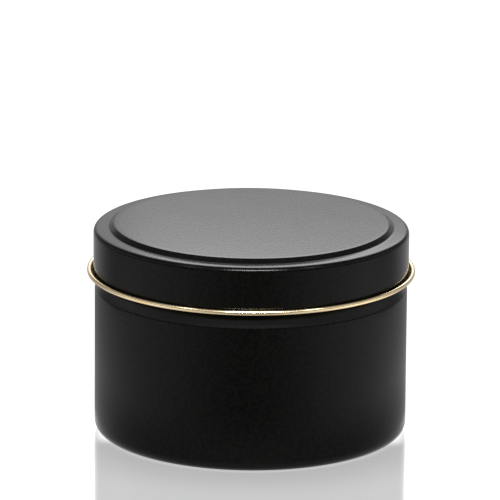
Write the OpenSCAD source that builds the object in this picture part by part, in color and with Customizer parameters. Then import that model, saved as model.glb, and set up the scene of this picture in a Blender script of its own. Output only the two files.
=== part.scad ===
// Round slip-lid candle tin: a seamless drawn steel body and a drawn steel lid.
// Each piece is one sheet, so each is drawn as the centre line of the sheet,
// thickened to both sides and turned about Z.
// Millimetres, +Z up, origin at the centre of the foot.

/* [Tin] */
// Height of the closed tin, up to the raised panel of the lid
total_h = 52; // [44:0.5:90]
// Thickness of the sheet steel
sheet_t = 0.25; // [0.2:0.01:0.28]

/* [Lid] */
// Outside diameter of the lid's skirt
lid_d = 77; // [70:0.5:100]
// Height of the lid, from the rim down to the underside of the curl
skirt_h = 11.3; // [9:0.05:14]
// Height of the raised panel above the outer edge of the rim
panel_rise = 1.12; // [1:0.02:1.6]
// Distance from the outside of the skirt in to the flat of the raised panel
panel_inset = 5.2; // [5:0.1:10]
// Slope of the wall round the panel, in degrees
panel_slope = 38; // [34:1:48]
// Slope of the rim round the panel, down towards the skirt, in degrees
rim_slope = 2; // [0:0.5:3]
// Outside radius of the corner between the rim and the skirt
lid_corner_r = 1.2; // [1.15:0.05:1.6]
// Outside diameter of the curl along the lower edge of the skirt
curl_d = 1.2; // [1.1:0.05:1.6]
// Gap between the skirt and the curl
curl_gap = 0.4; // [0.3:0.05:0.6]

/* [Body] */
// Distance of the body's wall in from the outside of the lid's skirt
wall_inset = 0.3; // [0.2:0.02:0.36]
// Outside radius of the corner at the foot
foot_r = 2.4; // [1.5:0.1:4]
// Width of the flat ring that the tin stands on
foot_ring_w = 2.4; // [1.5:0.1:4]
// Height of the base panel above the foot
base_rise = 0.8; // [0.6:0.1:1.5]
// Slope of the step round the base panel, in degrees
base_slope = 35; // [30:1:45]
// Distance from the lower edge of the shoulder up to the curl of the lid
shoulder_drop = 3.98; // [3:0.02:8]
// Steepest slope of the shoulder away from upright, in degrees
shoulder_slope = 27; // [20:1:30]

/* [Fit] */
// Gap between the rim and the inside of the skirt
side_gap = 0.15; // [0.1:0.01:0.2]
// Gap between the rim and the inside of the lid's corner, where the lid sits
seat_gap = 0.05; // [0.02:0.01:0.05]
// Outside diameter of the curl along the rim of the body
rim_curl_d = 1.5; // [1.4:0.05:1.6]

/* [Hidden] */

$fn = 180;
bend_step = 10;
half_t = sheet_t / 2;
enamel = "#191a19";
lacquer = "#d9c79a";

// Radii of the bends, measured at the centre line of the sheet
panel_top_bend = 0.35;
panel_foot_bend = 0.8;
base_bend = 0.7;
shoulder_bend = 0.875;
cove_bend = 1.5;
skirt_foot_bend = 0.55;
curl_bend = curl_d / 2 - half_t;
rim_bend = rim_curl_d / 2 - half_t;

// How far round each curl goes, in degrees
lid_curl_turn = 300;
rim_curl_turn = 265;

// A bend is [centre radius, centre height, bend radius, start angle, end angle].
// Going along the sheet, a rising angle bends it to the left and a falling one
// to the right. Bends are joined by straight stretches, tangent to both.

// Points of one bend, on the face that lies "side" to the left of the centre line
function bend_face(bend, side) =
    let (
        turn = bend[4] - bend[3],
        steps = ceil(abs(turn) / bend_step),
        radius = bend[2] - side * sign(turn)
    )
    [for (i = [0 : steps])
        let (angle = bend[3] + turn * i / steps)
        [bend[0] + radius * cos(angle), bend[1] + radius * sin(angle)]];

// Points of one face of a whole stretch of sheet
function face(bends, side) = [for (bend = bends) each bend_face(bend, side)];

function reversed(points) = [for (i = [len(points) - 1 : -1 : 0]) points[i]];

// A stretch of sheet, turned about Z
module turned_sheet(bends) {
    outline = concat(face(bends, half_t), reversed(face(bends, -half_t)));
    rotate_extrude() polygon(outline);
}

// A stretch of sheet that starts on the axis, at height z
module turned_dish(z, bends) {
    left = concat([[0, z + half_t]], face(bends, half_t));
    right = concat([[0, z - half_t]], face(bends, -half_t));
    rotate_extrude() polygon(concat(left, reversed(right)));
}

// Straight run between two bends that turn by "slope" and back, for a total drop
function slope_run(drop, slope, radii) =
    radii * sin(slope) + (drop - radii * (1 - cos(slope))) / tan(slope);

// Lid: levels and radii of the centre line
rim_z = total_h - panel_rise;
skirt_r = lid_d / 2 - half_t;
corner_r = lid_d / 2 - lid_corner_r;
corner_z = rim_z - lid_corner_r;
panel_r = lid_d / 2 - panel_inset;
panel_z = total_h - half_t - panel_top_bend;
corner_bend = lid_corner_r - half_t;

// The bend at the foot of the panel's wall touches both the wall and the rim
wall_offset = panel_r * sin(panel_slope) + panel_z * cos(panel_slope)
    + panel_top_bend + panel_foot_bend;
rim_offset = corner_r * sin(rim_slope) + corner_z * cos(rim_slope)
    + corner_bend + panel_foot_bend;
panel_turn = sin(panel_slope - rim_slope);
panel_foot_r = (wall_offset * cos(rim_slope) - rim_offset * cos(panel_slope)) / panel_turn;
panel_foot_z = (rim_offset * sin(panel_slope) - wall_offset * sin(rim_slope)) / panel_turn;

lid_curl_r = lid_d / 2 + curl_gap + curl_d / 2;
lid_curl_z = rim_z - skirt_h + curl_d / 2;
skirt_foot_z = lid_curl_z - curl_bend + skirt_foot_bend;

lid_top_bends = [
    // Upper edge of the raised panel
    [panel_r, panel_z, panel_top_bend, 90, 90 - panel_slope],
    // Foot of the panel's wall
    [panel_foot_r, panel_foot_z, panel_foot_bend, -90 - panel_slope, -90 - rim_slope],
    // Corner between the rim and the skirt
    [corner_r, corner_z, corner_bend, 90 - rim_slope, 0],
    // Foot of the skirt, where the sheet starts to turn outwards
    [skirt_r + skirt_foot_bend, skirt_foot_z, skirt_foot_bend, -180, -135]
];

lid_curl_bends = [
    // Rest of the turn at the foot of the skirt
    [skirt_r + skirt_foot_bend, skirt_foot_z, skirt_foot_bend, -135, -90],
    // Curl, up and over with the inside of the sheet outermost
    [lid_curl_r, lid_curl_z, curl_bend, -90, -90 + lid_curl_turn]
];

// Body: levels and radii of the centre line
body_r = lid_d / 2 - wall_inset;
wall_r = body_r - half_t;
foot_ring_r = body_r - foot_r;
base_step_run = slope_run(base_rise, base_slope, 2 * base_bend);
rim_curl_r = lid_d / 2 - sheet_t - side_gap - rim_curl_d / 2;
neck_r = rim_curl_r - rim_bend;

// The rim's curl nests inside the rounded corner of the lid
seat_reach = lid_corner_r - sheet_t - seat_gap - rim_curl_d / 2;
rim_curl_z = corner_z + sqrt(pow(seat_reach, 2) - pow(rim_curl_r - corner_r, 2));

// The shoulder leans in, then a cove turns the sheet upright again at the neck
shoulder_z = rim_z - skirt_h - shoulder_drop;
shoulder_run = wall_r - neck_r;
shoulder_arcs = (shoulder_bend + cove_bend) * (1 - cos(shoulder_slope));
shoulder_straight = (shoulder_run - shoulder_arcs) / sin(shoulder_slope);
cove_z = shoulder_z + (shoulder_bend + cove_bend) * sin(shoulder_slope)
    + shoulder_straight * cos(shoulder_slope);

body_bends = [
    // Step down from the base panel
    [foot_ring_r - foot_ring_w - base_step_run, base_rise + half_t - base_bend, base_bend,
        90, 90 - base_slope],
    // Inner edge of the foot ring
    [foot_ring_r - foot_ring_w, half_t + base_bend, base_bend, -90 - base_slope, -90],
    // Rounded corner at the foot
    [foot_ring_r, foot_r, foot_r - half_t, -90, 0],
    // Shoulder, where the wall turns in under the lid
    [wall_r - shoulder_bend, shoulder_z, shoulder_bend, 0, shoulder_slope],
    // Cove up to the neck
    [neck_r + cove_bend, cove_z, cove_bend, 180 + shoulder_slope, 180],
    // Top of the neck
    [rim_curl_r, rim_curl_z, rim_bend, 180, 90]
];

rim_curl_bends = [
    // Curl over the top of the neck and down its outside
    [rim_curl_r, rim_curl_z, rim_bend, 90, 180 - rim_curl_turn]
];

// Seamless drawn body: recessed base, rounded foot, wall, shoulder, neck and curled rim
module tin_body() {
    color(enamel) turned_dish(base_rise + half_t, body_bends);
    color(lacquer) turned_sheet(rim_curl_bends);
}

// Drawn lid: raised panel, sloping rim, skirt, and an outward curl that shows the inside lacquer
module lid() {
    color(enamel) turned_dish(total_h - half_t, lid_top_bends);
    color(lacquer) turned_sheet(lid_curl_bends);
}

tin_body();
lid();
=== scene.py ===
from math import ceil, cos, hypot, pi, radians, sin, tan
from random import Random

import bpy
from mathutils import Matrix, Vector


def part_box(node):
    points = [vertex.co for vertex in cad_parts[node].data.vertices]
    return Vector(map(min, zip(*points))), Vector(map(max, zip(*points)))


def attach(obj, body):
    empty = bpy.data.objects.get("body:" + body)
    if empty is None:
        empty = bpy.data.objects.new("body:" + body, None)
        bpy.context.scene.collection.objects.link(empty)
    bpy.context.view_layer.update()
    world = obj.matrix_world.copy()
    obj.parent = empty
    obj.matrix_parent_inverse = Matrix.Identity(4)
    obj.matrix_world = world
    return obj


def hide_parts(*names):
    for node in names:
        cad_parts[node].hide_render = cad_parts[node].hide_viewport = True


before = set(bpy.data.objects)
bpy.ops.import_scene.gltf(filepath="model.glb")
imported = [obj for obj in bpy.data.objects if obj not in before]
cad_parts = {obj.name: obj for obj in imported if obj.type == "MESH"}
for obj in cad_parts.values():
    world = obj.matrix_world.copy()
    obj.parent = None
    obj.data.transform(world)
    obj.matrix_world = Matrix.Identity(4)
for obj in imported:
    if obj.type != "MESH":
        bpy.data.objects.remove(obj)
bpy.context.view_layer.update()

# Sizes in metres. The outer sizes come from the frame; these are the details between them.
MM = 0.001
SHEET = 0.25 * MM
HALF_SHEET = SHEET / 2

LID_LOW, LID_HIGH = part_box("lid")
PANEL_RISE = 1.12 * MM
PANEL_INSET = 5.2 * MM
PANEL_SLOPE = 38
PANEL_TOP_BEND = 0.35 * MM
PANEL_FOOT_BEND = 0.8 * MM
RIM_SLOPE = 2
LID_CORNER = 1.2 * MM
SKIRT_FOOT_BEND = 0.55 * MM
CURL_D = 1.2 * MM
CURL_GAP = 0.4 * MM
LID_CURL_TURN = 300

BODY_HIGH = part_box("tin_body")[1]
FOOT_CORNER = 2.4 * MM
FOOT_RING_W = 2.4 * MM
BASE_RISE = 0.8 * MM
BASE_SLOPE = 35
BASE_BEND = 0.7 * MM
SHOULDER_DROP = 3.98 * MM
SHOULDER_SLOPE = 27
SHOULDER_BEND = 0.875 * MM
COVE_BEND = 1.5 * MM
RIM_CURL_D = 1.5 * MM
SIDE_GAP = 0.15 * MM
RIM_CURL_TURN = 265

# How far the pressed sheet wanders from its drawn shape
CURL_INWARD = 0.02 * MM
CURL_UPWARD = 0.03 * MM
PANEL_SAG = 0.03 * MM
PANEL_WARP = 0.012 * MM
WALL_INWARD = 0.015 * MM
WALL_BLEND = 10 * MM

# Fineness of the meshes
SPOKES = 288
ARC_STEP = 6
RUN_STEP = 1.6 * MM
SHARP_ANGLE = 40
ON_AXIS = 1e-9

# Slots of every piece's mesh, in this order
ENAMEL, LACQUER, CUT_EDGE = range(3)


# ---------------------------------------------------------------- section of the sheet
# Each piece is one sheet, drawn by its centre line in the (radius, height) plane. A bend is
# (centre radius, centre height, bend radius, start angle, end angle). Bends are joined by
# straight runs. A station is a point of the centre line with the direction to its left.

def bend_stations(bend):
    centre_r, centre_z, bend_r, start, end = bend
    turn = end - start
    steps = ceil(abs(turn) / ARC_STEP)
    side = -1 if turn > 0 else 1
    stations = []
    for i in range(steps + 1):
        angle = radians(start + turn * i / steps)
        out_r, out_z = cos(angle), sin(angle)
        stations.append((centre_r + bend_r * out_r, centre_z + bend_r * out_z,
                         side * out_r, side * out_z))
    return stations


def run_stations(a, b):
    """Stations strictly between a and b, on the straight run that joins them."""
    steps = max(1, ceil(hypot(b[0] - a[0], b[1] - a[1]) / RUN_STEP))
    shares = [i / steps for i in range(1, steps)]
    return [tuple(p + (q - p) * share for p, q in zip(a, b)) for share in shares]


def sheet_stations(start_z, bends):
    """Stations from the axis, at height start_z, through all the bends to the sheet's cut edge."""
    corners = [bend_stations(bend) for bend in bends]
    stations = [(0.0, start_z, 0.0, corners[0][0][3])]
    for corner in corners:
        stations += run_stations(stations[-1], corner[0])
        stations += corner
    return stations


def slope_run(drop, slope, radii):
    """Straight-line reach of two bends that turn by slope and back, for a total drop."""
    slope = radians(slope)
    return radii * sin(slope) + (drop - radii * (1 - cos(slope))) / tan(slope)


def panel_foot(panel_r, panel_z, corner_r, corner_z):
    """Centre of the bend that touches both the panel's wall and the rim round it."""
    wall, rim = radians(PANEL_SLOPE), radians(RIM_SLOPE)
    corner_bend = LID_CORNER - HALF_SHEET
    from_wall = panel_r * sin(wall) + panel_z * cos(wall) + PANEL_TOP_BEND + PANEL_FOOT_BEND
    from_rim = corner_r * sin(rim) + corner_z * cos(rim) + corner_bend + PANEL_FOOT_BEND
    foot_r = (from_wall * cos(rim) - from_rim * cos(wall)) / sin(wall - rim)
    foot_z = (from_rim * sin(wall) - from_wall * sin(rim)) / sin(wall - rim)
    return foot_r, foot_z


def lid_bends():
    lid_r = LID_HIGH.x - CURL_GAP - CURL_D
    rim_z = LID_HIGH.z - PANEL_RISE
    panel_r = lid_r - PANEL_INSET
    panel_z = LID_HIGH.z - HALF_SHEET - PANEL_TOP_BEND
    corner_r, corner_z = lid_r - LID_CORNER, rim_z - LID_CORNER
    foot_r, foot_z = panel_foot(panel_r, panel_z, corner_r, corner_z)
    skirt_r = lid_r - HALF_SHEET
    curl_z = LID_LOW.z + CURL_D / 2
    curl_bend = CURL_D / 2 - HALF_SHEET
    skirt_foot_z = curl_z - curl_bend + SKIRT_FOOT_BEND
    return [
        (panel_r, panel_z, PANEL_TOP_BEND, 90, 90 - PANEL_SLOPE),
        (foot_r, foot_z, PANEL_FOOT_BEND, -90 - PANEL_SLOPE, -90 - RIM_SLOPE),
        (corner_r, corner_z, LID_CORNER - HALF_SHEET, 90 - RIM_SLOPE, 0),
        (skirt_r + SKIRT_FOOT_BEND, skirt_foot_z, SKIRT_FOOT_BEND, -180, -90),
        (LID_HIGH.x - CURL_D / 2, curl_z, curl_bend, -90, -90 + LID_CURL_TURN),
    ]


def body_bends():
    wall_r = BODY_HIGH.x - HALF_SHEET
    ring_r = BODY_HIGH.x - FOOT_CORNER
    ring_inner_r = ring_r - FOOT_RING_W
    base_r = ring_inner_r - slope_run(BASE_RISE, BASE_SLOPE, 2 * BASE_BEND)
    lid_r = LID_HIGH.x - CURL_GAP - CURL_D
    rim_r = lid_r - SHEET - SIDE_GAP - RIM_CURL_D / 2
    rim_z = BODY_HIGH.z - RIM_CURL_D / 2
    rim_bend = RIM_CURL_D / 2 - HALF_SHEET
    neck_r = rim_r - rim_bend
    lean = radians(SHOULDER_SLOPE)
    arcs = (SHOULDER_BEND + COVE_BEND) * (1 - cos(lean))
    straight = (wall_r - neck_r - arcs) / sin(lean)
    shoulder_z = LID_LOW.z - SHOULDER_DROP
    cove_z = shoulder_z + (SHOULDER_BEND + COVE_BEND) * sin(lean) + straight * cos(lean)
    return [
        (base_r, BASE_RISE + HALF_SHEET - BASE_BEND, BASE_BEND, 90, 90 - BASE_SLOPE),
        (ring_inner_r, HALF_SHEET + BASE_BEND, BASE_BEND, -90 - BASE_SLOPE, -90),
        (ring_r, FOOT_CORNER, FOOT_CORNER - HALF_SHEET, -90, 0),
        (wall_r - SHOULDER_BEND, shoulder_z, SHOULDER_BEND, 0, SHOULDER_SLOPE),
        (neck_r + COVE_BEND, cove_z, COVE_BEND, 180 + SHOULDER_SLOPE, 180),
        (rim_r, rim_z, rim_bend, 180, 180 - RIM_CURL_TURN),
    ]


# ---------------------------------------------------------------- turning the section
def waves(seed, orders, swing):
    """A smooth function of the angle that repeats each turn and stays within swing of 0."""
    random = Random(seed)
    terms = [(order, random.uniform(0.3, 1), random.uniform(0, 2 * pi)) for order in orders]
    total = sum(size for order, size, phase in terms)
    return lambda angle: swing / total * sum(
        size * cos(order * angle + phase) for order, size, phase in terms)


def closed_outline(stations, outer_side):
    """Points round the sheet: out along one face, over the cut edge, and back along the other.
    Each is (radius, height, station, coat), where the coat covers the stretch up to the next."""
    outline = []
    for side, coat in ((outer_side, ENAMEL), (-outer_side, LACQUER)):
        face = [(s[0] + side * HALF_SHEET * s[2], s[1] + side * HALF_SHEET * s[3], s, coat)
                for s in stations]
        outline += face if side == outer_side else face[::-1]
    edge = len(stations) - 1
    outline[edge] = outline[edge][:3] + (CUT_EDGE,)
    return outline


def ring_points(point, moved):
    """The point of the outline, turned about Z. moved says how far each angle is out of place."""
    radius, height, station, coat = point
    if radius < ON_AXIS:
        down = moved(station, 0)[1]
        return [(0, 0, height + down)]
    ring = []
    for i in range(SPOKES):
        angle = 2 * pi * i / SPOKES
        outward, upward = moved(station, angle)
        ring.append(((radius + outward) * cos(angle), (radius + outward) * sin(angle),
                     height + upward))
    return ring


def ring_faces(first, second):
    """Faces between two rings of point numbers, either of which may be a single point."""
    faces = []
    for i in range(SPOKES):
        k = (i + 1) % SPOKES
        corners = [first[i % len(first)], first[k % len(first)],
                   second[k % len(second)], second[i % len(second)]]
        faces.append(list(dict.fromkeys(corners)))
    return faces


def turned_piece(name, outline, moved, clockwise=False):
    """The piece whose closed outline is turned about Z. clockwise says which way it runs."""
    points, faces, coats, rings = [], [], [], []
    for point in outline:
        ring = ring_points(point, moved)
        rings.append(range(len(points), len(points) + len(ring)))
        points += ring
    for number in range(len(outline) - 1):
        band = ring_faces(rings[number], rings[number + 1])
        faces += band
        coats += [outline[number][3]] * len(band)
    mesh = bpy.data.meshes.new(name)
    mesh.from_pydata(points, [], faces)
    mesh.polygons.foreach_set("material_index", coats)
    if clockwise:
        mesh.flip_normals()
    mesh.shade_smooth()
    mesh.set_sharp_from_angle(angle=radians(SHARP_ANGLE))
    mesh.validate()
    piece = bpy.data.objects.new(name, mesh)
    bpy.context.scene.collection.objects.link(piece)
    return piece


def dress(piece, node, body, materials):
    for material in materials:
        piece.data.materials.append(material)
    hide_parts(node)
    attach(piece, body)


def make_lid(materials):
    bends = lid_bends()
    panel_r = bends[0][0]
    skirt_r = bends[2][0] + bends[2][2]
    curl_reach = LID_HIGH.x - CURL_D / 2 - skirt_r
    inward = waves(11, range(3, 26), CURL_INWARD)
    upward = waves(12, range(2, 20), CURL_UPWARD)
    warp = waves(13, range(2, 5), PANEL_WARP)

    def moved(station, angle):
        """The curl wavers, and the panel sags a little, most in its middle."""
        curl_share = min(max((station[0] - skirt_r) / curl_reach, 0), 1)
        panel_share = max(1 - (station[0] / panel_r) ** 2, 0)
        swell = station[0] / panel_r * warp(angle) - PANEL_SAG
        return (curl_share * (inward(angle) - CURL_INWARD),
                curl_share * upward(angle) + panel_share * swell)

    outline = closed_outline(sheet_stations(LID_HIGH.z - HALF_SHEET, bends), 1)
    piece = turned_piece("lid_shell", outline, moved, clockwise=True)
    dress(piece, "lid", "lid", materials)


def make_tin_body(materials):
    inward = waves(21, range(2, 9), WALL_INWARD)

    def moved(station, angle):
        """The wall is slightly out of round, and the foot isn't."""
        wall_share = min(max((station[1] - FOOT_CORNER) / WALL_BLEND, 0), 1)
        return wall_share * (inward(angle) - WALL_INWARD), 0

    outline = closed_outline(sheet_stations(BASE_RISE + HALF_SHEET, body_bends()), -1)
    piece = turned_piece("tin_shell", outline, moved)
    dress(piece, "tin_body", "tin", materials)


# ---------------------------------------------------------------- node helpers
def add(tree, kind, inputs=(), **settings):
    """A shader node. inputs pairs each socket's name or number with a value or another socket."""
    made = tree.nodes.new("ShaderNode" + kind)
    for name, value in settings.items():
        setattr(made, name, value)
    for name, value in dict(inputs).items():
        if isinstance(value, bpy.types.NodeSocket):
            tree.links.new(value, made.inputs[name])
        else:
            made.inputs[name].default_value = value
    return made


def calc(tree, operation, *values):
    """A Math node's result."""
    return add(tree, "Math", enumerate(values), operation=operation).outputs[0]


def remap(tree, value, span, target, kind="SMOOTHSTEP"):
    """The value carried over from its span to the target, with both ends held."""
    inputs = {"Value": value, "From Min": span[0], "From Max": span[1],
              "To Min": target[0], "To Max": target[1]}
    return add(tree, "MapRange", inputs, interpolation_type=kind).outputs[0]


def blend(tree, factor, first, second):
    """A colour between the first, where factor is 0, and the second, where it is 1."""
    inputs = {"Factor": factor, "A": first, "B": second}
    return add(tree, "Mix", inputs, data_type="RGBA").outputs["Result"]


def emission(tree, strength, colour=(1, 1, 1, 1)):
    return add(tree, "Emission", {"Color": colour, "Strength": strength}).outputs[0]


def both(tree, first, second):
    """The sum of two shaders."""
    return add(tree, "AddShader", {0: first, 1: second}).outputs[0]


def noise(tree, vector, size, detail=2.0):
    """Noise about 0.5, whose lumps are about size metres across."""
    inputs = {"Vector": vector, "Scale": 0.5 / size, "Detail": detail}
    return add(tree, "TexNoise", inputs).outputs[0]


def bump(tree, height, distance):
    return add(tree, "Bump", {"Height": height, "Strength": 1.0, "Distance": distance}).outputs[0]


def new_material(name):
    material = bpy.data.materials.new(name)
    material.use_nodes = True
    tree = material.node_tree
    return material, tree, tree.nodes["Principled BSDF"]


def turned_coordinates(tree, place):
    """(radius, height, a slow drift): noise on it makes lines that run round the axis."""
    split = add(tree, "SeparateXYZ", {0: place})
    squares = [calc(tree, "MULTIPLY", split.outputs[i], split.outputs[i]) for i in range(2)]
    radius = calc(tree, "SQRT", calc(tree, "ADD", *squares))
    drift = calc(tree, "MULTIPLY", noise(tree, place, 15 * MM, 1.0), 0.6 * MM)
    return add(tree, "CombineXYZ", {0: radius, 1: split.outputs[2], 2: drift}).outputs[0]


def specks(tree, place, spacing, radius, share):
    """1 inside a few scattered specks, and 0 elsewhere. share is how many cells hold one."""
    cells = add(tree, "TexVoronoi", {"Vector": place, "Scale": 1 / spacing})
    edge = (0.6 * radius / spacing, radius / spacing)
    near = remap(tree, cells.outputs["Distance"], edge, (1, 0))
    lot = add(tree, "SeparateColor", {0: cells.outputs["Color"]}).outputs[0]
    return calc(tree, "MULTIPLY", near, calc(tree, "LESS_THAN", lot, share))


def hairlines(tree, place, spacing, width):
    """1 along fine straight scratches that come and go, and 0 elsewhere."""
    inputs = {"Vector": place, "Scale": 1 / spacing, "Randomness": 1.0}
    edges = add(tree, "TexVoronoi", inputs, feature="DISTANCE_TO_EDGE").outputs["Distance"]
    line = remap(tree, edges, (0, width / spacing), (1, 0))
    patches = remap(tree, noise(tree, place, 1.2 * spacing), (0.58, 0.7), (0, 1))
    return calc(tree, "MULTIPLY", line, patches)


# ---------------------------------------------------------------- materials
PAINT_DARK = (0.0009, 0.001, 0.0008, 1)
PAINT_LIGHT = (0.0021, 0.0022, 0.0019, 1)
PAINT_DUST = (0.06, 0.06, 0.057, 1)
PAINT_IOR = 1.2
GOLD_DEEP = (0.9, 0.7, 0.4, 1)
GOLD_PALE = (0.95, 0.78, 0.5, 1)
GOLD_NICK = (0.2, 0.13, 0.07, 1)
STEEL_DARK = (0.32, 0.31, 0.3, 1)
STEEL_LIGHT = (0.62, 0.61, 0.6, 1)


def black_enamel():
    """Satin black enamel: a fine orange peel, faint rolled lines, dust and a few hairlines."""
    material, tree, shader = new_material("black_enamel")
    place = add(tree, "TexCoord").outputs["Object"]
    peel = noise(tree, place, 0.4 * MM, 1.0)
    blotch = noise(tree, place, 7 * MM, 3.0)
    rolled = noise(tree, turned_coordinates(tree, place), 0.16 * MM, 1.0)
    dust = specks(tree, place, spacing=7 * MM, radius=0.1 * MM, share=0.3)
    scratch = hairlines(tree, place, spacing=9 * MM, width=0.035 * MM)
    marks = calc(tree, "MAXIMUM", dust, calc(tree, "MULTIPLY", scratch, 0.06))

    grain = blend(tree, remap(tree, peel, (0.35, 0.65), (0, 1)), PAINT_DARK, PAINT_LIGHT)
    tree.links.new(blend(tree, marks, grain, PAINT_DUST), shader.inputs["Base Color"])

    rough = remap(tree, blotch, (0.3, 0.7), (0.15, 0.185))
    rough = calc(tree, "ADD", rough, calc(tree, "MULTIPLY", marks, 0.15))
    tree.links.new(rough, shader.inputs["Roughness"])

    height = calc(tree, "ADD", peel, calc(tree, "MULTIPLY", rolled, 0.25))
    tree.links.new(bump(tree, height, 0.02 * MM), shader.inputs["Normal"])
    shader.inputs["IOR"].default_value = PAINT_IOR
    return material


def gold_lacquer():
    """Clear gold lacquer on tin-plated steel, with the fine lines of drawing and rolling."""
    material, tree, shader = new_material("gold_lacquer")
    place = add(tree, "TexCoord").outputs["Object"]
    blotch = noise(tree, place, 3 * MM, 2.0)
    rolled = noise(tree, turned_coordinates(tree, place), 0.12 * MM, 2.0)
    nicks = specks(tree, place, spacing=3.5 * MM, radius=0.12 * MM, share=0.12)

    tone = blend(tree, remap(tree, blotch, (0.35, 0.65), (0, 1)), GOLD_DEEP, GOLD_PALE)
    tree.links.new(blend(tree, nicks, tone, GOLD_NICK), shader.inputs["Base Color"])

    rough = remap(tree, rolled, (0.3, 0.7), (0.15, 0.18))
    rough = calc(tree, "ADD", rough, calc(tree, "MULTIPLY", nicks, 0.3))
    tree.links.new(rough, shader.inputs["Roughness"])
    tree.links.new(bump(tree, rolled, 0.0004 * MM), shader.inputs["Normal"])
    shader.inputs["Metallic"].default_value = 1.0
    return material


def cut_steel():
    """The bare edge of the sheet, sheared and a little torn."""
    material, tree, shader = new_material("cut_steel")
    place = add(tree, "TexCoord").outputs["Object"]
    grain = noise(tree, place, 0.08 * MM, 3.0)
    tree.links.new(blend(tree, grain, STEEL_DARK, STEEL_LIGHT), shader.inputs["Base Color"])
    tree.links.new(remap(tree, grain, (0.3, 0.7), (0.3, 0.5)), shader.inputs["Roughness"])
    shader.inputs["Metallic"].default_value = 1.0
    return material


# ---------------------------------------------------------------- camera
CAMERA_ELEVATION = 15.2166
CAMERA_DISTANCE = 1353.17 * MM
CAMERA_TARGET = Vector((-0.309, 0, 45)) * MM
CAMERA_ROLL = 0.4553
CAMERA_LENS = 399.276
SENSOR = 36
CLIP_END = 200


def make_camera():
    data = bpy.data.cameras.new("camera")
    data.lens = CAMERA_LENS
    data.sensor_width = SENSOR
    data.clip_end = CLIP_END
    camera = bpy.data.objects.new("camera", data)
    bpy.context.scene.collection.objects.link(camera)
    tilt = radians(CAMERA_ELEVATION)
    camera.location = CAMERA_TARGET + CAMERA_DISTANCE * Vector((0, -cos(tilt), sin(tilt)))
    pitch = Matrix.Rotation(radians(90 - CAMERA_ELEVATION), 4, "X")
    roll = Matrix.Rotation(radians(CAMERA_ROLL), 4, "Z")
    camera.rotation_euler = (pitch @ roll).to_euler()
    bpy.context.scene.camera = camera


# ---------------------------------------------------------------- floor
FLOOR_R = 40
FLOOR_SIDES = 64

# Where the floor's painted light and shade change, by distance from the middle of the tin
UNDER_FOOT = (34 * MM, 38 * MM)
POOL_EDGE = (41 * MM, 45 * MM)
POOL_FADE = (50 * MM, 85 * MM)
FAR_FLOOR = (140 * MM, 170 * MM)
SEEN_FADE = (36 * MM, 60 * MM)
CONTACT_LINE = (36.8 * MM, 38.4 * MM)
CONTACT_SPILL = (36.5 * MM, 41.5 * MM)

# What the camera sees of the floor
ACRYLIC_MATT = (0.055, 0.055, 0.055, 1)
ACRYLIC_GLOW = (0.985, 0.99, 1, 1)
ACRYLIC_GLOSS = (0.4, 0.4, 0.41, 1)


def floor_place(tree):
    """How far a point of the floor is from the middle, and its direction to the right and back."""
    place = add(tree, "NewGeometry").outputs["Position"]
    distance = add(tree, "VectorMath", {0: place}, operation="LENGTH").outputs["Value"]
    heading = add(tree, "VectorMath", {0: place}, operation="NORMALIZE").outputs["Vector"]
    split = add(tree, "SeparateXYZ", {0: heading})
    return distance, split.outputs[0], split.outputs[1]


def reflected_floor(tree, distance, right, back):
    """What the tin reflects of the floor: a soft pool of light, brightest close to the foot."""
    swell = calc(tree, "MULTIPLY_ADD", back, -0.72, 0.72)
    sides = calc(tree, "MULTIPLY_ADD", calc(tree, "MULTIPLY", right, right), swell, 0.29)
    sides = calc(tree, "MULTIPLY", sides, calc(tree, "MULTIPLY_ADD", right, 0.1, 1))
    near = remap(tree, back, (-0.2, 0.6), (0.6, 0.38))
    pool = remap(tree, distance, POOL_FADE, (near, sides))
    pool = remap(tree, distance, POOL_EDGE, (0.9, pool))
    front_far = remap(tree, back, (-0.2, 0.35), (1, 0.66))
    back_far = remap(tree, back, (0.35, 0.9), (0, 1.1))
    far = calc(tree, "ADD", front_far, back_far)
    pool = calc(tree, "MULTIPLY", pool, remap(tree, distance, FAR_FLOOR, (1, far)))
    shade = remap(tree, distance, UNDER_FOOT, (0.1, 1))
    return emission(tree, calc(tree, "MULTIPLY", pool, shade))


def contact_light(tree, distance, right):
    """The light line round the foot, and the light that spills from it to the left and right."""
    line = remap(tree, distance, CONTACT_LINE, (0.16, 0))
    abreast = remap(tree, calc(tree, "ABSOLUTE", right), (0.9, 0.97), (0, 0.45))
    spill = calc(tree, "MULTIPLY", abreast, remap(tree, distance, CONTACT_SPILL, (1, 0)))
    return emission(tree, calc(tree, "ADD", line, spill))


def seen_floor(tree, distance, right):
    """What the camera sees of the floor: pale acrylic that mirrors the tin faintly, with a painted
    shade round the foot and a painted light line at it.
    """
    matt = add(tree, "BsdfDiffuse", {"Color": ACRYLIC_MATT}).outputs[0]
    gloss = add(tree, "BsdfAnisotropic", {"Color": ACRYLIC_GLOSS, "Roughness": 0.0}).outputs[0]
    # Painted shade: the floor's glow is dimmer close to the tin's foot.
    fade = remap(tree, distance, SEEN_FADE, (0, 1))
    glow = emission(tree, calc(tree, "MULTIPLY_ADD", fade, 0.12, 0.38), ACRYLIC_GLOW)
    matt = both(tree, matt, contact_light(tree, distance, right))
    return both(tree, both(tree, matt, glow), gloss)


def floor_material():
    """Pale acrylic for the camera, and a soft pool of light for what the tin reflects."""
    material, tree, shader = new_material("pale_acrylic")
    tree.nodes.remove(shader)
    distance, right, back = floor_place(tree)
    inputs = {0: add(tree, "LightPath").outputs["Is Camera Ray"],
              1: reflected_floor(tree, distance, right, back),
              2: seen_floor(tree, distance, right)}
    surface = add(tree, "MixShader", inputs).outputs[0]
    tree.links.new(surface, tree.nodes["Material Output"].inputs["Surface"])
    material.cycles.emission_sampling = "NONE"
    return material


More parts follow.
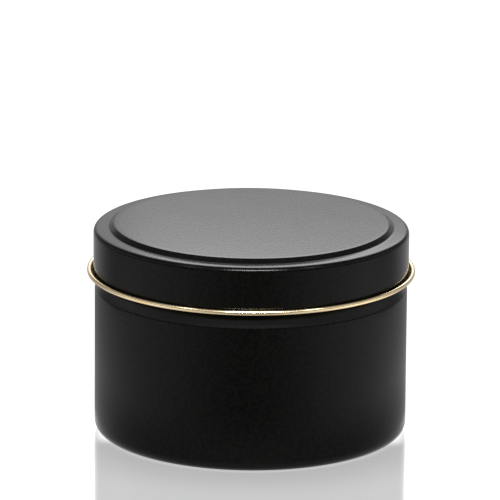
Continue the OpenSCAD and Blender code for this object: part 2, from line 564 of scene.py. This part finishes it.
def make_floor():
    mesh = bpy.data.meshes.new("floor")
    angles = [2 * pi * i / FLOOR_SIDES for i in range(FLOOR_SIDES)]
    edge = [(FLOOR_R * cos(angle), FLOOR_R * sin(angle), 0) for angle in angles]
    mesh.from_pydata(edge, [], [range(FLOOR_SIDES)])
    mesh.materials.append(floor_material())
    floor = bpy.data.objects.new("floor", mesh)
    bpy.context.scene.collection.objects.link(floor)


# ---------------------------------------------------------------- world
BACKDROP = 1.4
CEILING = 0.4
BAND_HALF_WIDTH = (0.05, 0.12)


def light_band(tree, bearing, up):
    """A band of light round the studio. It hangs low behind the tin and high at the front."""
    rear = calc(tree, "MAXIMUM", bearing, 0)
    middle = calc(tree, "MULTIPLY_ADD", bearing, -0.17, 0.42)
    middle = calc(tree, "MULTIPLY_ADD", calc(tree, "MULTIPLY", rear, rear), -0.3, middle)
    off = calc(tree, "ABSOLUTE", calc(tree, "SUBTRACT", up, middle))
    level = remap(tree, bearing, (-0.9, -0.4), (1.5, 1.2))
    band = remap(tree, off, BAND_HALF_WIDTH, (level, 0))
    return calc(tree, "MULTIPLY", band, remap(tree, bearing, (0.2, 0.7), (1, 0.1)))


def make_world():
    """A pale studio. The tin reflects dim sides, a band of light round them and a bright wall
    behind it. The camera, and the mirror in the floor, see an even white backdrop."""
    world = bpy.data.worlds.new("studio")
    bpy.context.scene.world = world
    world.use_nodes = True
    tree = world.node_tree
    split = add(tree, "SeparateXYZ", {0: add(tree, "TexCoord").outputs["Generated"]})
    back, up = split.outputs[1], split.outputs[2]
    level = calc(tree, "MULTIPLY_ADD", calc(tree, "MULTIPLY", up, up), -1, 1.0001)
    bearing = calc(tree, "DIVIDE", back, calc(tree, "SQRT", level))

    sides = remap(tree, bearing, (-0.7, -0.2), (0.12, 0.25))
    sides = calc(tree, "ADD", sides, light_band(tree, bearing, up))
    wall = remap(tree, up, (0.12, 0.24), (0.5, 1.3))
    around = remap(tree, bearing, (0.88, 0.985), (sides, wall))
    room = remap(tree, up, (0.75, 0.9), (around, CEILING))

    path = add(tree, "LightPath")
    clear = calc(tree, "MAXIMUM", path.outputs["Is Camera Ray"], path.outputs["Is Singular Ray"])
    strength = remap(tree, clear, (0, 1), (room, BACKDROP), "LINEAR")
    background = tree.nodes["Background"]
    tree.links.new(strength, background.inputs["Strength"])
    background.inputs["Color"].default_value = (1, 1, 1, 1)


# ---------------------------------------------------------------- lights
MIDDLE = Vector((0, 0, LID_HIGH.z / 2))


def edge_fall(tree, across, soft):
    """1 over the middle of a light, down to 0 at both its edges. across runs from 0 to 1."""
    off_centre = calc(tree, "ABSOLUTE", calc(tree, "MULTIPLY_ADD", across, 2, -1))
    return remap(tree, calc(tree, "SUBTRACT", 1, off_centre), (0, soft), (0, 1))


def softbox(name, azimuth, elevation, distance, size, radiance, soft=0.3):
    """An area light aimed at the tin. Azimuth 0 is the camera's side, and 90 its right."""
    turn, lift = radians(azimuth), radians(elevation)
    towards = Vector((sin(turn) * cos(lift), -cos(turn) * cos(lift), sin(lift)))
    light = bpy.data.lights.new(name, "AREA")
    light.shape = "RECTANGLE"
    light.size, light.size_y = size
    light.energy = radiance * pi * size[0] * size[1]
    light.use_nodes = True
    tree = light.node_tree
    split = add(tree, "SeparateXYZ", {0: add(tree, "NewGeometry").outputs["Parametric"]})
    falls = [edge_fall(tree, split.outputs[i], soft) for i in range(2)]
    tree.links.new(calc(tree, "MULTIPLY", *falls), tree.nodes["Emission"].inputs["Strength"])
    lamp = bpy.data.objects.new(name, light)
    lamp.location = MIDDLE + distance * towards
    lamp.rotation_euler = towards.to_track_quat("Z", "Y").to_euler()
    lamp.visible_camera = False
    bpy.context.scene.collection.objects.link(lamp)


def make_lights():
    softbox("back_softbox", 168.5, 34.5, 0.36, (0.23, 0.18), 2.4, 0.12)
    softbox("front_softbox", 3, 55, 1.0, (0.6, 0.2), 80, 0.5)
    softbox("left_softbox", -62, 55, 1.0, (0.15, 0.2), 8)
    softbox("right_softbox", 60, 55, 1.0, (0.15, 0.2), 12)


# ---------------------------------------------------------------- scene
coats = [black_enamel(), gold_lacquer(), cut_steel()]
make_tin_body(coats)
make_lid(coats)
make_camera()
make_floor()
make_world()
make_lights()
bpy.context.scene.view_settings.view_transform = "Standard"
# Denoising would wipe out the fine grain of the paint
bpy.context.scene.cycles.use_denoising = False
